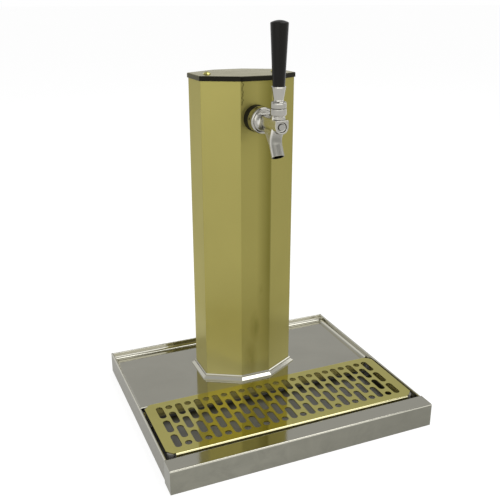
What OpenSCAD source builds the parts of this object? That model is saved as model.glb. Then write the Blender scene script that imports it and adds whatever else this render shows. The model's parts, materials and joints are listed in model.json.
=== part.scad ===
// Countertop beverage tower: an eight-sided column with one tap on a drip base.
// Origin at the centre of the base footprint on the counter, Z up, tap facing -Y.

/* [Base] */
// Overall width of the base
base_w = 380; // [340:1:460]
// Overall depth of the base
base_d = 323; // [300:1:400]
// Height of the front apron above the counter
base_h = 34; // [32:0.5:44]
// Sheet thickness of the base and apron
sheet_t = 1.5; // [1:0.1:2]
// Depth of the deck below the top of the apron
rim_depth = 9.8; // [8:0.1:14]
// Width of the hemmed rim round the deck
rim_t = 3; // [2.4:0.1:5]
// Radius of the cove between rim and deck
cove_r = 5.5; // [3:0.5:7]
// Depth of the flat strip along the top of the apron
strip_d = 25.3; // [18:0.1:32]
// How far the side walls stand in from the apron ends
side_inset = 0.8; // [0.4:0.1:1.4]
// Height of the rubber feet
foot_h = 2.5; // [2:0.1:3.5]
// Diameter of the rubber feet
foot_dia = 12; // [8:0.5:13]

/* [Drip pan and grille] */
// Wall thickness of the drip pan
pan_t = 1; // [0.7:0.1:1.4]
// Radius of the pan's floor edge
pan_cove_r = 6; // [4:0.5:7]
// Radius of the pan's upright corners
pan_corner_r = 14; // [9:1:20]
// Gap beside the grille at each side
grille_side_gap = 3.7; // [2.5:0.1:5]
// Gap in front of the grille
grille_front_gap = 5.6; // [3:0.1:7]
// Gap behind the grille
grille_back_gap = 9.6; // [7:0.1:12]
// Sheet thickness of the grille
grille_t = 1.5; // [1:0.1:2]
// Size of the chamfer at the grille's corners
grille_chamfer = 10.5; // [7:0.5:12]
// Depth of the grille's down-turned front and back edges
grille_lip_h = 5; // [4:0.5:8]
// Spacing of the slots across the grille
slot_pitch_x = 27.3; // [25:0.1:27.6]
// Spacing of the slots front to back
slot_pitch_y = 34.4; // [31:0.1:34.8]
// Length of a slot
slot_len = 28.5; // [20:0.5:29]
// Width of a slot, and diameter of the round holes
slot_w = 9.5; // [6:0.5:10]

/* [Column] */
// Width of the column
col_w = 137; // [120:1:150]
// Depth of the column
col_d = 101; // [96:1:110]
// Width of the column's front face
col_front_w = 44; // [40:1:54]
// Length of the column's side faces
col_side_len = 49; // [42:1:56]
// Wall thickness of the column
col_wall = 2; // [1.5:0.1:2.6]
// Distance from the pan recess back to the column's front face
col_setback = 18.1; // [14:0.1:26]
// Distance from the column's back face to the back of the base
col_behind = 40.4; // [28:0.1:60]
// Height of the column
col_h = 439.8; // [380:0.1:520]
// Thickness of the cap
cap_t = 6.3; // [4:0.1:9]
// How far the cap stands out past the column
cap_over = 1.5; // [0.5:0.1:3]
// Distance of each cap screw from the middle
cap_screw_x = 50; // [40:1:54]
// Height of the trim ring at the column's foot
ring_h = 7.5; // [6:0.5:10]
// How far the trim ring stands out past the column
ring_out = 6.5; // [4:0.5:9]

/* [Tap] */
// Distance of the tap's centreline below the top of the column
tap_drop = 48.6; // [45:0.1:90]
// Length of the black spacer between column and nut
spacer_len = 12; // [8:0.5:14]
// Outer radius of the coupling nut
nut_r = 17.5; // [17:0.1:19]
// Length of the coupling nut
nut_len = 14.5; // [14:0.5:17]
// Distance from the column face to the lever's upright axis
lever_reach = 69.5; // [68:0.5:74]
// Distance from the lever's axis to the front of the nose
nose_reach = 12.2; // [12:0.1:14]
// Half the width of the tap body
body_half_w = 8.75; // [8.6:0.05:9.5]
// Outer radius of the spout
spout_r = 8.3; // [7.6:0.1:8.3]
// Bore radius of the spout
spout_bore_r = 6.8; // [5.5:0.1:6.8]
// Forward lean of the spout's lower end in degrees
spout_lean = 28; // [15:1:32]
// Height of the lever's pivot above the tap's centreline
pivot_up = 12.6; // [12.2:0.1:13.2]
// Radius of the lever's ball
ball_r = 5.2; // [4.9:0.1:5.3]
// Forward swing of the lever in degrees
lever_swing = 25; // [15:1:25]
// Radius of the valve shaft where the nose guides it
shaft_r = 3.9; // [3.6:0.1:4]

/* [Handle] */
// Length of the handle above its ferrule
handle_len = 74.9; // [60:0.1:120]
// Radius of the handle at its foot
handle_foot_r = 7.75; // [7.3:0.05:8.2]
// Radius of the handle at its top
handle_top_r = 11.25; // [9:0.05:14]
// Length of the conical ferrule
ferrule_len = 17.6; // [15:0.1:22]

/* [Fits] */
// Running clearance on radius where one piece slides or turns in another
run_fit = 0.05; // [0.03:0.01:0.08]
// Small clearance between fixed pieces that nest
nest_fit = 0.1; // [0.05:0.01:0.2]
// Clearance between pieces that move apart
free_gap = 0.3; // [0.2:0.05:0.4]

/* [Hidden] */
$fn = 64;
eps = 0.01;

// Base levels and edges
deck_z = base_h - rim_depth;
wall_x = base_w / 2 - side_inset;
rim_in_x = wall_x - rim_t;
base_back_y = base_d / 2;
base_front_y = -base_d / 2;
rim_in_y = base_back_y - rim_t;
rim_top_z = base_h - 0.2;
strip_back_y = base_front_y + strip_d;
recess_back_y = base_back_y - col_behind - col_d - col_setback;
recess_d = recess_back_y - strip_back_y;
bend_r = sheet_t + 0.5;
flange_w = 14;
apron_z = 0.5;
back_hem_h = 8.5;
deck_lip_h = 12;

// Pan and grille levels
pan_z = foot_h + sheet_t;
pan_top_z = deck_z - 1.2;
pan_back_y = recess_back_y - 2.5;
grille_w = 2 * (rim_in_x - grille_side_gap);
grille_d = recess_d - grille_front_gap - grille_back_gap;
grille_y = strip_back_y + grille_front_gap + grille_d / 2;
grille_bend_r = grille_t + 1;
grille_edge_x = 13;
grille_edge_y = 9.5;
grille_hem_r = 0.9;
grille_foot_r = 3.8;
grille_foot_top_r = 6;
grille_foot_in_x = grille_foot_top_r + 0.5;
grille_foot_in_y = grille_foot_top_r + grille_bend_r + 0.1;

// Column stack
tower_gasket_t = 1;
plate_t = 4;
plate_z = deck_z + tower_gasket_t;
bolt_x = 42;
bolt_y = 27;
bolt_r = 3;
bolt_hole_r = bolt_r + 0.3;
bolt_hex_r = 5.6;
bolt_washer_t = 1.2;
line_hole_r = 14;
tube_r = 4.75;
tube_bore_r = 3.5;
tube_bend_r = 14;
tube_end_z = 8;
tube_flange_r = 9;
tube_flange_t = 3;
sleeve_r = 30;
sleeve_top_gap = 8;
col_front_y = recess_back_y + col_setback;
col_y = col_front_y + col_d / 2;
col_top_z = plate_z + col_h;
cap_screw_r = 2.5;
bracket_t = 3;
bracket_drop = 20;
bracket_w = 16;
cap_skirt_h = 7;

// Tap stations along Y, from the column face forward
tap_z = col_top_z - tap_drop;
nut_back_y = col_front_y - spacer_len;
nut_front_y = nut_back_y - nut_len;
disc_in_nut = 6.4;
body_back_y = nut_front_y + disc_in_nut;
washer_t = 1.5;
shank_front_y = body_back_y + washer_t;
lever_y = col_front_y - lever_reach;
nose_y = lever_y - nose_reach;
shank_r = 11.1;
shank_bore_r = 3.2;
tube_tail_len = 12.5;
shank_tail_y = col_y - tube_bend_r - tube_tail_len;
shank_flange_r = 14.1;
lock_hex_r = 17;
lock_washer_t = 3;
tail_hex_r = 15.5;
tail_nut_len = 15;
nut_wall = 3.2;
disc_r = 14.3;
inlet_r = 8.4;
valve_travel = pivot_up * lever_swing * PI / 180;
stem_r = 2.8;
stem_end_r = 2;
stem_end_len = 6;
seat_y = body_back_y - stem_end_len - valve_travel - 0.5;
seat_hole_r = 4.6;
seat_t = 2.5;
valve_washer_t = 2.5;
chamber_r = 6.2;
pivot_z = tap_z + pivot_up;
body_top_z = tap_z + body_half_w + 0.05;
boss_r = 8.6;
boss_top_z = pivot_z + 0.1;
boss_chamfer = 0.8;
boss_bore_r = ball_r + 1;
boss_bore_depth = 3.4;
boss_mouth_depth = 5.2;
thread_r = 7.9;
thread_len = 3.4;
bonnet_r = 10.3;
bonnet_z = boss_top_z + 0.5;
bonnet_up = 10;
bonnet_top_z = pivot_z + bonnet_up;
bonnet_round_r = 1.7;
collar_r = 10;
collar_clear_r =
    norm([bonnet_r - bonnet_round_r, bonnet_up - bonnet_round_r]) + bonnet_round_r + free_gap;
collar_z = pivot_z + sqrt(pow(collar_clear_r, 2) - pow(collar_r, 2)) + 0.1;
collar_top_z = collar_z + 8.7;
neck_r = 3;
finger_r = 1.9;
finger_fit = 0.45;
stud_r = 4.7;
stud_len = 12;
ferrule_z = collar_top_z;
handle_z = ferrule_z + ferrule_len;
tenon_r = 6.2;
tenon_len = 7;
recess_r = 6.2;
recess_len = 2.7;
bend_centre_z = tap_z - 19.4;
spout_y = lever_y + 7.6;
spout_bend_r = 16;
spout_top_lean = 24;
spout_end_len = 14;
spout_top_len = 16;

// Corner points of the column's outline, moved outward by a distance
function column_outline(out) =
    let (
        hx = col_w / 2,
        hy = col_d / 2,
        fx = col_front_w / 2,
        sy = col_side_len / 2,
        diagonal = norm([hx - fx, hy - sy]),
        nx = (hy - sy) / diagonal,
        ny = (hx - fx) / diagonal,
        reach = nx * fx + ny * hy + out,
        vx = (reach - ny * (hy + out)) / nx,
        vy = (reach - nx * (hx + out)) / ny
    )
    [
        [vx, hy + out], [hx + out, vy], [hx + out, -vy], [vx, -hy - out],
        [-vx, -hy - out], [-hx - out, -vy], [-hx - out, vy], [-vx, hy + out]
    ];

// A block of the column's outline between two heights
module column_block(z0, z1, out) {
    translate([0, col_y, z0]) linear_extrude(z1 - z0) polygon(column_outline(out));
}

// A profile drawn in (x, z) and run along Y
module run_y(y0, y1) {
    translate([0, y1, 0]) rotate([90, 0, 0]) linear_extrude(y1 - y0) children();
}

// A profile drawn in (y, z) and run along X
module run_x(x0, x1) {
    translate([x0, 0, 0]) rotate([90, 0, 90]) linear_extrude(x1 - x0) children();
}

// A cylinder along Y between two stations at the tap's centreline
module rod_y(y0, y1, r0, r1) {
    translate([0, y1, tap_z]) rotate([90, 0, 0]) cylinder(h = y1 - y0, r1 = r1, r2 = r0);
}

// A hexagonal bar along Y between two stations at the tap's centreline
module hex_y(y0, y1, r) {
    translate([0, y1, tap_z]) rotate([90, 0, 0]) cylinder(h = y1 - y0, r = r, $fn = 6);
}

// An upright cylinder on the lever's axis
module lever_rod(z0, z1, r0, r1) {
    translate([0, lever_y, z0]) cylinder(h = z1 - z0, r1 = r0, r2 = r1);
}

// A quarter bend of sheet with its centre at the origin, in the first quadrant
module sheet_bend() {
    intersection() {
        difference() {
            circle(r = bend_r);
            circle(r = bend_r - sheet_t);
        }
        square(bend_r);
    }
}

module both_sides() {
    children();
    mirror([1, 0, 0]) children();
}

// Hemmed rim of folded sheet with a rounded top, drawn from x = 0 outward
module rim_profile() {
    translate([0, deck_z - sheet_t]) square([rim_t, rim_top_z - rim_t / 2 - deck_z + sheet_t]);
    translate([rim_t / 2, rim_top_z - rim_t / 2]) circle(r = rim_t / 2);
}

// Cove that fills the corner between the deck and a rim at x = 0
module cove_profile() {
    translate([-cove_r, deck_z - sheet_t / 2]) difference() {
        square([cove_r + sheet_t / 2, cove_r + sheet_t / 2]);
        translate([0, cove_r + sheet_t / 2]) circle(r = cove_r);
    }
}

module side_wall_profile() {
    translate([rim_in_x, 0]) rim_profile();
    translate([wall_x - sheet_t, foot_h]) square([sheet_t, deck_z - foot_h]);
    translate([wall_x - flange_w, foot_h]) square([flange_w, sheet_t]);
}

module back_wall_profile() {
    translate([rim_in_y, 0]) rim_profile();
    translate([rim_in_y - sheet_t / 2, foot_h]) square([sheet_t, deck_z - foot_h]);
    translate([rim_in_y - flange_w, foot_h]) square([rim_t + flange_w, sheet_t]);
    translate([base_back_y - sheet_t, foot_h]) square([sheet_t, back_hem_h]);
}

module deck_profile() {
    translate([recess_back_y + bend_r, deck_z - sheet_t])
        square([rim_in_y - recess_back_y - bend_r + sheet_t, sheet_t]);
    translate([recess_back_y + bend_r, deck_z - bend_r]) mirror([1, 0]) sheet_bend();
    translate([recess_back_y, deck_z - deck_lip_h]) square([sheet_t, deck_lip_h - bend_r]);
}

module tower_bolt_places() {
    for (sx = [-1, 1], sy = [-1, 1])
        translate([sx * bolt_x, col_y + sy * bolt_y, 0]) children();
}

// Bent stainless body of the base, with the deck, rim and walls
module base_housing() {
    color("silver") difference() {
        union() {
            both_sides() run_y(strip_back_y, base_back_y) side_wall_profile();
            both_sides() run_y(recess_back_y + bend_r, rim_in_y + sheet_t)
                translate([rim_in_x, 0]) cove_profile();
            run_x(-wall_x, wall_x) back_wall_profile();
            run_x(-rim_in_x - sheet_t, rim_in_x + sheet_t) {
                deck_profile();
                translate([rim_in_y, 0]) cove_profile();
            }
        }
        translate([0, col_y, 0]) cylinder(h = base_h, r = line_hole_r);
        tower_bolt_places() cylinder(h = base_h, r = bolt_hole_r);
    }
}

// Bent channel that closes the front of the base
module front_apron() {
    color("silver") {
        run_x(-base_w / 2, base_w / 2) {
            translate([base_front_y, apron_z]) square([sheet_t, base_h - bend_r - apron_z]);
            translate([base_front_y, apron_z]) square([flange_w, sheet_t]);
            translate([base_front_y + bend_r, base_h - bend_r]) mirror([1, 0]) sheet_bend();
            translate([base_front_y + bend_r, base_h - sheet_t])
                square([strip_d - 2 * bend_r, sheet_t]);
            translate([strip_back_y - bend_r, base_h - bend_r]) sheet_bend();
            translate([strip_back_y - sheet_t, deck_z - 2])
                square([sheet_t, base_h - bend_r - deck_z + 2]);
        }
        both_sides() run_x(base_w / 2 - sheet_t, base_w / 2) {
            translate([base_front_y, apron_z]) square([strip_d, base_h - bend_r - apron_z]);
            translate([base_front_y + bend_r, apron_z])
                square([strip_d - 2 * bend_r, base_h - apron_z]);
            for (y = [base_front_y + bend_r, strip_back_y - bend_r])
                translate([y, base_h - bend_r]) circle(r = bend_r);
        }
    }
}

// Rubber feet under the bottom flanges
module rubber_feet() {
    in_x = wall_x - flange_w / 2;
    color("dimgray") for (y = [strip_back_y + flange_w, base_back_y - flange_w])
        both_sides() translate([in_x, y, 0]) cylinder(h = foot_h, d1 = foot_dia - 1, d2 = foot_dia);
}

// Box with rounded upright corners and a rounded floor edge, open above z1
module pan_form(inset, z0, z1) {
    x = rim_in_x - free_gap - inset;
    y0 = strip_back_y + free_gap + inset;
    y1 = pan_back_y - inset;
    r = pan_corner_r - inset;
    edge = pan_cove_r - inset;
    hull() for (sx = [-1, 1], sy = [0, 1]) {
        corner = [sx * (x - r), sy == 0 ? y0 + r : y1 - r, 0];
        translate(corner) {
            translate([0, 0, z0 + edge]) rotate_extrude($fn = 32)
                translate([r - edge, 0]) intersection() {
                    circle(r = edge, $fn = 32);
                    translate([0, -edge]) square([edge, edge]);
                }
            translate([0, 0, z0 + edge]) cylinder(h = z1 - z0 - edge, r = r, $fn = 32);
        }
    }
}

// Removable pan that catches the drips
module drip_pan() {
    color("gray") difference() {
        pan_form(0, pan_z, pan_top_z);
        pan_form(pan_t, pan_z + pan_t, pan_top_z + eps);
    }
}

// Slot of the grille, lying front to back
module grille_slot(y) {
    half = (slot_len - slot_w) / 2;
    translate([0, y]) {
        square([slot_w, 2 * half], center = true);
        for (s = [-1, 1]) translate([0, s * half]) circle(d = slot_w);
    }
}

// Openings of the grille: full columns of slots, and between them columns with one slot
// fewer and a round hole at each end
module grille_pattern() {
    last = floor((grille_w / 2 - grille_edge_x) / slot_pitch_x);
    gap = slot_pitch_y - slot_len;
    rows = floor((grille_d - 2 * grille_edge_y + gap) / slot_pitch_y);
    last_y = (rows - 1) / 2 * slot_pitch_y;
    hole_y = last_y + (slot_len - slot_w) / 2;
    for (i = [-last:last]) translate([i * slot_pitch_x, 0])
        for (j = [0:1:rows - 1]) grille_slot(j * slot_pitch_y - last_y);
    for (i = [-last:1:last - 1]) translate([(i + 0.5) * slot_pitch_x, 0]) {
        for (j = [0.5:1:rows - 1]) grille_slot(j * slot_pitch_y - last_y);
        for (y = [-hole_y, hole_y]) translate([0, y]) circle(d = slot_w);
    }
}

// Outline of the grille with cut corners
module grille_outline() {
    hx = grille_w / 2;
    hy = grille_d / 2;
    c = grille_chamfer;
    polygon([
        [hx, hy - c], [hx - c, hy], [c - hx, hy], [-hx, hy - c],
        [-hx, c - hy], [c - hx, -hy], [hx - c, -hy], [hx, c - hy]
    ]);
}

// Down-turned edge of the grille with a small hem, its face at y = 0 and the sheet behind it
module grille_lip_profile() {
    r = grille_bend_r;
    translate([r, base_h - r]) intersection() {
        difference() {
            circle(r = r);
            circle(r = r - grille_t);
        }
        translate([-r, 0]) square(r);
    }
    translate([0, base_h - grille_lip_h + grille_hem_r])
        square([grille_t, grille_lip_h - grille_hem_r - r]);
    translate([grille_t - grille_hem_r, base_h - grille_lip_h + grille_hem_r])
        circle(r = grille_hem_r);
}

// Perforated brass sheet that lies over the pan
module drip_grille() {
    lip_x = grille_w / 2 - grille_chamfer;
    color("darkkhaki") {
        translate([0, grille_y, base_h - grille_t]) linear_extrude(grille_t) difference() {
            intersection() {
                grille_outline();
                square([grille_w, grille_d - 2 * grille_bend_r], center = true);
            }
            grille_pattern();
        }
        for (s = [0, 1]) translate([0, grille_y, 0]) mirror([0, s, 0])
            translate([0, -grille_d / 2, 0]) run_x(-lip_x, lip_x) grille_lip_profile();
    }
}

// Tapered rubber posts that stand in the pan and carry the grille at its corners
module grille_feet() {
    floor_z = pan_z + pan_t;
    post_h = base_h - grille_t - floor_z;
    color("gray") both_sides() for (s = [-1, 1]) translate([
        grille_w / 2 - grille_foot_in_x,
        grille_y + s * (grille_d / 2 - grille_foot_in_y),
        floor_z
    ])
        cylinder(h = post_h, r1 = grille_foot_r, r2 = grille_foot_top_r);
}

// Rubber sheet between the deck and the column
module tower_gasket() {
    color("black") difference() {
        column_block(deck_z, plate_z, -nest_fit);
        translate([0, col_y, 0]) cylinder(h = plate_z + 1, r = line_hole_r);
        tower_bolt_places() cylinder(h = plate_z + 1, r = bolt_hole_r);
    }
}

// Steel plate inside the column's foot that takes the bolts
module column_foot_plate() {
    color("slategray") difference() {
        column_block(plate_z, plate_z + plate_t, -col_wall - nest_fit);
        translate([0, col_y, 0]) cylinder(h = plate_z + plate_t + 1, r = tube_r + nest_fit);
        tower_bolt_places() cylinder(h = plate_z + plate_t + 1, r = bolt_hole_r);
    }
}

// Bolts and washers that hold the column down from under the deck
module tower_bolts() {
    head_h = 4;
    head_z = deck_z - sheet_t - bolt_washer_t;
    top_z = plate_z + plate_t + 7;
    color("gray") tower_bolt_places() translate([0, 0, head_z]) {
        cylinder(h = bolt_washer_t, r = 2 * bolt_r);
        translate([0, 0, -head_h]) cylinder(h = head_h + eps, r = bolt_hex_r, $fn = 6);
        cylinder(h = top_z - head_z, r = bolt_r);
    }
}

// Nuts on the bolts inside the column
module tower_nuts() {
    nut_h = 5;
    color("gray") tower_bolt_places() translate([0, 0, plate_z + plate_t]) difference() {
        cylinder(h = nut_h, r = bolt_hex_r, $fn = 6);
        translate([0, 0, -1]) cylinder(h = nut_h + 2, r = bolt_r + nest_fit / 2);
    }
}

// Eight-sided brass column
module tower_column() {
    color("darkkhaki") difference() {
        column_block(plate_z, col_top_z, 0);
        column_block(plate_z - 1, col_top_z + 1, -col_wall);
        rod_y(col_front_y - 1, col_front_y + col_wall + 1, shank_r + free_gap, shank_r + free_gap);
    }
}

// Bright trim ring round the column's foot, with a wide bevel below a narrow one
module column_trim_ring() {
    edge_h = ring_h * 0.16;
    bevel_h = ring_h * 0.4;
    groove_out = ring_out * 0.36;
    rim_out = ring_out * 0.2;
    profile = [
        [ring_out, 0], [ring_out, edge_h], [groove_out, edge_h + bevel_h],
        [groove_out, ring_h - edge_h], [rim_out, ring_h]
    ];
    color("silver") difference() {
        for (i = [1:len(profile) - 1]) hull() {
            column_block(deck_z, deck_z + eps, profile[i][0]);
            column_block(
                deck_z + profile[i][1] - eps, deck_z + profile[i][1], profile[i][0]);
            column_block(
                deck_z + profile[i - 1][1], deck_z + profile[i - 1][1] + eps,
                profile[i - 1][0]);
        }
        column_block(deck_z - 1, deck_z + ring_h + 1, nest_fit);
    }
}

// Strap across the column's top that takes the cap screws
module cap_bracket() {
    reach = col_w / 2 - col_wall - nest_fit;
    color("slategray") difference() {
        union() {
            translate([-reach, col_y - bracket_w / 2, col_top_z - bracket_t])
                cube([2 * reach, bracket_w, bracket_t]);
            both_sides() translate([
                reach - bracket_t, col_y - bracket_w / 2, col_top_z - bracket_drop
            ])
                cube([bracket_t, bracket_w, bracket_drop]);
        }
        both_sides() translate([cap_screw_x, col_y, col_top_z - 2 * bracket_t])
            cylinder(h = 4 * bracket_t, r = cap_screw_r + nest_fit / 2);
    }
}

// Black moulded cap with a locating skirt
module tower_cap() {
    edge = 0.8;
    skirt = 2;
    color([0.16, 0.15, 0.14]) difference() {
        union() {
            column_block(col_top_z, col_top_z + cap_t - edge, cap_over);
            hull() {
                column_block(col_top_z + cap_t - edge - eps, col_top_z + cap_t - edge, cap_over);
                column_block(col_top_z + cap_t - eps, col_top_z + cap_t, cap_over - edge);
            }
            difference() {
                column_block(col_top_z - cap_skirt_h, col_top_z + eps, -col_wall - nest_fit);
                column_block(
                    col_top_z - cap_skirt_h - 1, col_top_z, -col_wall - nest_fit - skirt);
                translate([-col_w, col_y - bracket_w / 2 - 1, col_top_z - cap_skirt_h - 1])
                    cube([2 * col_w, bracket_w + 2, cap_skirt_h + 1]);
            }
        }
        both_sides() translate([cap_screw_x, col_y, col_top_z - 1])
            cylinder(h = cap_t + 2, r = cap_screw_r + nest_fit);
    }
}

// Brass dome-head screws through the cap
module cap_screws() {
    head_r = 5.7;
    head_h = 3;
    dome_r = (head_r * head_r + head_h * head_h) / (2 * head_h);
    shaft_len = cap_t + 2 * bracket_t;
    slot = [7, 1, 0.9];
    top_z = col_top_z + cap_t;
    color("darkkhaki") both_sides() translate([cap_screw_x, col_y, top_z]) {
        difference() {
            intersection() {
                translate([0, 0, head_h - dome_r]) sphere(r = dome_r);
                cylinder(h = head_h, r = head_r);
            }
            translate([-slot[0] / 2, -slot[1] / 2, head_h - slot[2]]) cube(slot + [0, 0, 1]);
        }
        translate([0, 0, -shaft_len]) cylinder(h = shaft_len, r = cap_screw_r);
    }
}

// Foam round the beverage tube inside the column
module insulation_sleeve() {
    z0 = plate_z + plate_t;
    z1 = tap_z - tube_bend_r - sleeve_top_gap;
    color("dimgray") translate([0, col_y, 0]) difference() {
        translate([0, 0, z0]) cylinder(h = z1 - z0, r = sleeve_r);
        translate([0, 0, z0 - 1]) cylinder(h = z1 - z0 + 2, r = tube_r + nest_fit);
    }
}

// Stainless tube that carries the beverage from under the base up to the shank
module beverage_tube() {
    barb_h = 3;
    barb_out = 0.8;
    module tube_path(r) {
        translate([0, col_y, tube_end_z]) cylinder(h = tap_z - tube_bend_r - tube_end_z, r = r);
        translate([0, col_y - tube_bend_r, tap_z - tube_bend_r]) rotate([90, 0, 90])
            rotate_extrude(angle = 90) translate([tube_bend_r, 0]) circle(r = r);
        rod_y(shank_tail_y + washer_t, col_y - tube_bend_r, r, r);
    }
    color("silver") difference() {
        union() {
            tube_path(tube_r);
            translate([0, shank_tail_y + washer_t, 0])
                rod_y(0, tube_flange_t, tube_flange_r, tube_flange_r);
            for (z = [tube_end_z + 1, tube_end_z + barb_h + 2])
                translate([0, col_y, z]) cylinder(h = barb_h, r1 = tube_r, r2 = tube_r + barb_out);
        }
        tube_path(tube_bore_r);
        translate([0, col_y, tube_end_z - 1]) cylinder(h = 2, r = tube_bore_r);
        rod_y(shank_tail_y, shank_tail_y + washer_t + 1, tube_bore_r, tube_bore_r);
    }
}

// Hexagonal nut that joins the tube to the shank's tail
module tail_nut() {
    wall = 3;
    flange_y = shank_tail_y + washer_t + tube_flange_t;
    end_y = flange_y + wall;
    color("silver") difference() {
        hex_y(end_y - tail_nut_len, end_y, tail_hex_r);
        rod_y(end_y - tail_nut_len - 1, flange_y, shank_r + nest_fit / 2, shank_r + nest_fit / 2);
        rod_y(flange_y - 1, end_y + 1, tube_r + nest_fit, tube_r + nest_fit);
    }
}

// Sealing washer between the tube's flange and the shank
module tail_washer() {
    color("black") difference() {
        rod_y(shank_tail_y, shank_tail_y + washer_t, tube_flange_r, tube_flange_r);
        rod_y(shank_tail_y - 1, shank_tail_y + washer_t + 1, shank_bore_r, shank_bore_r);
    }
}

// Nut that clamps the shank to the column wall
module shank_lock_nut() {
    nut_h = 6;
    y0 = col_front_y + col_wall + lock_washer_t;
    color("silver") difference() {
        hex_y(y0, y0 + nut_h, lock_hex_r);
        rod_y(y0 - 1, y0 + nut_h + 1, shank_r + nest_fit / 2, shank_r + nest_fit / 2);
    }
}

// Flat washer under the lock nut
module shank_washer() {
    y0 = col_front_y + col_wall;
    color("dimgray") difference() {
        rod_y(y0, y0 + lock_washer_t, lock_hex_r, lock_hex_r);
        rod_y(y0 - 1, y0 + lock_washer_t + 1, shank_r + nest_fit, shank_r + nest_fit);
    }
}

// Threaded shank that passes through the column wall
module faucet_shank() {
    mouth_len = 5;
    color("silver") difference() {
        union() {
            rod_y(shank_front_y, nut_back_y - nut_wall, shank_flange_r, shank_flange_r);
            rod_y(shank_front_y, shank_tail_y, shank_r, shank_r);
        }
        rod_y(shank_front_y - 1, shank_tail_y + 1, shank_bore_r, shank_bore_r);
        rod_y(shank_front_y - 1, shank_front_y + mouth_len, inlet_r, inlet_r);
    }
}

// Black spacer that seats the tap against the column
module shank_spacer() {
    lip = 1;
    r = nut_r + 0.3;
    color([0.1, 0.1, 0.1]) difference() {
        union() {
            rod_y(nut_back_y + lip, col_front_y, r, r);
            rod_y(nut_back_y, nut_back_y + lip, r - lip, r);
        }
        rod_y(nut_back_y - 1, col_front_y + 1, shank_r + nest_fit, shank_r + nest_fit);
    }
}

// Round nut with spanner holes that pulls the tap body onto the shank
module coupling_nut() {
    round_r = 2.4;
    thread_bore_r = disc_r + nest_fit;
    holes = 6;
    hole_r = 2;
    hole_in = 5.5;
    hole_depth = 2;
    first_hole = 8;
    color("silver") difference() {
        union() {
            rod_y(nut_front_y + round_r, nut_back_y - 1, nut_r, nut_r);
            rod_y(nut_back_y - 1, nut_back_y, nut_r, nut_r - 1);
            rod_y(nut_front_y, nut_front_y + round_r, nut_r - round_r, nut_r - round_r);
            translate([0, nut_front_y + round_r, tap_z]) rotate([90, 0, 0])
                rotate_extrude() translate([nut_r - round_r, 0]) circle(r = round_r);
        }
        rod_y(nut_front_y - 1, nut_back_y - nut_wall, thread_bore_r, thread_bore_r);
        rod_y(nut_back_y - nut_wall - 1, nut_back_y + 1, shank_r + nest_fit, shank_r + nest_fit);
        for (i = [0:holes - 1]) translate([0, nut_back_y - hole_in, tap_z])
            rotate([0, first_hole + i * 360 / holes, 0]) translate([nut_r - hole_depth, 0, 0])
                rotate([0, 90, 0]) cylinder(h = hole_depth + 2, r = hole_r);
    }
}

// Sealing washer between shank and tap body
module coupling_washer() {
    color("black") difference() {
        rod_y(body_back_y, shank_front_y, disc_r - 2.3, disc_r - 2.3);
        rod_y(body_back_y - 1, shank_front_y + 1, inlet_r, inlet_r);
    }
}

// A round form along the spout: a straight top, one bend and a straight end
module spout_path(r, top_len, extra) {
    turn = spout_lean + spout_top_lean;
    translate([0, spout_y - spout_bend_r, bend_centre_z]) rotate([90, 0, 90]) {
        rotate([0, 0, -spout_lean]) rotate_extrude(angle = turn)
            translate([spout_bend_r, 0]) circle(r = r);
        rotate([0, 0, -spout_lean]) translate([spout_bend_r, 0, 0]) rotate([90, 0, 0])
            cylinder(h = spout_end_len + extra, r = r);
        rotate([0, 0, spout_top_lean]) translate([spout_bend_r, 0, 0]) rotate([-90, 0, 0])
            cylinder(h = top_len, r = r);
    }
}

// Solid outside of the tap body
module body_outside() {
    shoulder_len = 13;
    steps = 8;
    web_half_w = 6;
    front = body_back_y - 6;
    flare = disc_r - body_half_w;
    // Shoulder that narrows from the threaded disc to the bar along a quarter ellipse
    shoulder = concat(
        [[0, 0], [0, shoulder_len]],
        [for (i = [0:steps]) let (a = 90 * i / steps)
            [body_half_w + flare * (1 - cos(a)), shoulder_len * (1 - sin(a))]]
    );
    rod_y(front, body_back_y, disc_r, disc_r);
    intersection() {
        translate([0, front, tap_z]) rotate([90, 0, 0]) rotate_extrude() polygon(shoulder);
        translate([-disc_r, front - shoulder_len, tap_z - disc_r])
            cube([2 * disc_r, shoulder_len, body_top_z - tap_z + disc_r]);
    }
    rod_y(nose_y, front, body_half_w, body_half_w);
    translate([-body_half_w, nose_y, tap_z])
        cube([2 * body_half_w, front - shoulder_len - nose_y, body_top_z - tap_z]);
    // Web that braces the back of the spout
    run_x(-web_half_w, web_half_w) polygon([
        [front - 5, tap_z], [front - shoulder_len, tap_z - body_half_w - 1],
        [spout_y + 5.2, bend_centre_z - 8.5], [spout_y, bend_centre_z - 6], [spout_y - 6, tap_z]
    ]);
    spout_path(spout_r, spout_top_len, 0);
}

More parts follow.
